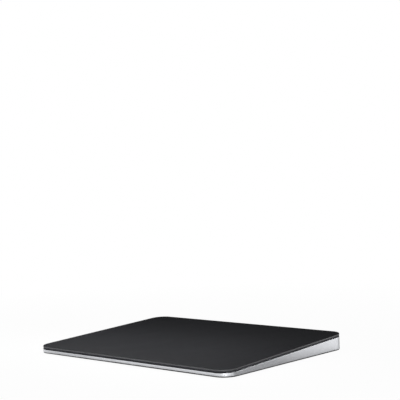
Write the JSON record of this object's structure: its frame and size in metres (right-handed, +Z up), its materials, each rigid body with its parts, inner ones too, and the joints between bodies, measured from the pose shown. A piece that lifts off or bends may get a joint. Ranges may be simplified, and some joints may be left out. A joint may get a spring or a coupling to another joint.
{
  "type": "trackpad",
  "caption": "Wedge-shaped wireless trackpad with a matte dark glass touch plate on sprung arms, an aluminium housing, a rear charging port and a power slider.",
  "frame": {"origin": "on the desk, under the centre of the outline, level with the undersides of the feet", "axes": "+X to the user's right, +Y to the rear, +Z up"},
  "size_m": [0.16, 0.115, 0.0109],
  "materials": {
    "anodised_aluminium": "bead-blasted and anodised",
    "cover_aluminium": "satin anodised sheet",
    "foot_rubber": "moulded, matte",
    "top_glass": "etched matte, printed dark from behind",
    "black_backing": "printed black layer",
    "black_frame": "moulded, matte",
    "circuit_board": "dark solder mask",
    "steel_sheet": "stamped sheet",
    "spring_steel": "rolled spring steel",
    "port_steel": "drawn and plated",
    "port_tongue": "moulded contact tongue",
    "gel": "soft translucent gel",
    "copper_wire": "enamelled copper winding",
    "pouch_foil": "laminated pouch foil",
    "tape_white": "stretch-release adhesive",
    "ribbon_amber": "polyimide film",
    "lead_black": "flat lead with black film",
    "antenna_plastic": "moulded carrier",
    "connector_plastic": "moulded connector",
    "chip_black": "moulded package",
    "case_plastic": "moulded case",
    "slider_plastic": "satin moulded, silver",
    "indicator_green": "moulded green inlay"
  },
  "bodies": {
    "housing": {"antenna": "antenna_plastic", "base_cover": "cover_aluminium", "battery_cell_left": "pouch_foil", "battery_cell_right": "pouch_foil", "battery_connector": "connector_plastic", "battery_lead": "lead_black", "battery_protection_board": "circuit_board", "battery_tape_left": "tape_white", "battery_tape_right": "tape_white", "charge_port_bracket": "steel_sheet", "charge_port_shell": "port_steel", "charge_port_tongue": "port_tongue", "flexure_arm_front_left": "spring_steel", "flexure_arm_front_right": "spring_steel", "flexure_arm_rear_left": "spring_steel", "flexure_arm_rear_right": "spring_steel", "foot_front_left": "foot_rubber", "foot_front_right": "foot_rubber", "foot_rear_left": "foot_rubber", "foot_rear_right": "foot_rubber", "gauge_ribbon_left": "ribbon_amber", "gauge_ribbon_right": "ribbon_amber", "haptic_bracket": "steel_sheet", "haptic_coil_front": "copper_wire", "haptic_coil_rear": "copper_wire", "haptic_connector": "connector_plastic", "haptic_core": "steel_sheet", "haptic_driver": "chip_black", "haptic_ribbon": "ribbon_amber", "housing": "anodised_aluminium", "logic_board": "circuit_board", "power_switch_case": "case_plastic", "radio_shield": "steel_sheet", "strain_gauges": "ribbon_amber", "switch_ribbon": "ribbon_amber", "touch_connector": "connector_plastic", "touch_controller": "chip_black", "touch_ribbon": "ribbon_amber"},
    "flexure_tips": {"flexure_tip_front_left": "spring_steel", "flexure_tip_front_right": "spring_steel", "flexure_tip_rear_left": "spring_steel", "flexure_tip_rear_right": "spring_steel", "gel_pad_front_left": "gel", "gel_pad_front_right": "gel", "gel_pad_rear_left": "gel", "gel_pad_rear_right": "gel"},
    "touch_plate": {"glass_top": "top_glass", "glass_backing": "black_backing", "edge_frame": "black_frame", "sensor_board": "circuit_board", "stiffener_plate": "steel_sheet", "haptic_armature": "steel_sheet"},
    "power_slider": {"power_slider": "slider_plastic", "power_indicator": "indicator_green"}
  },
  "joints": [
    {"name": "press", "type": "slide", "parent": "housing", "child": "flexure_tips", "axis": [0, -0.0521, 0.9986], "range_m": [-0.00025, 0], "stiffness_N_per_m": 8000, "springref_m": 0.0003, "deforming": ["flexure_arm_front_left", "flexure_arm_front_right", "flexure_arm_rear_left", "flexure_arm_rear_right", "touch_ribbon"]},
    {"name": "shake", "type": "slide", "parent": "flexure_tips", "child": "touch_plate", "axis": [1, 0, 0], "range_m": [-0.00015, 0.00015], "stiffness_N_per_m": 8000},
    {"name": "power_slide", "type": "slide", "parent": "housing", "child": "power_slider", "axis": [1, 0, 0], "range_m": [0, 0.0026]}
  ]
}
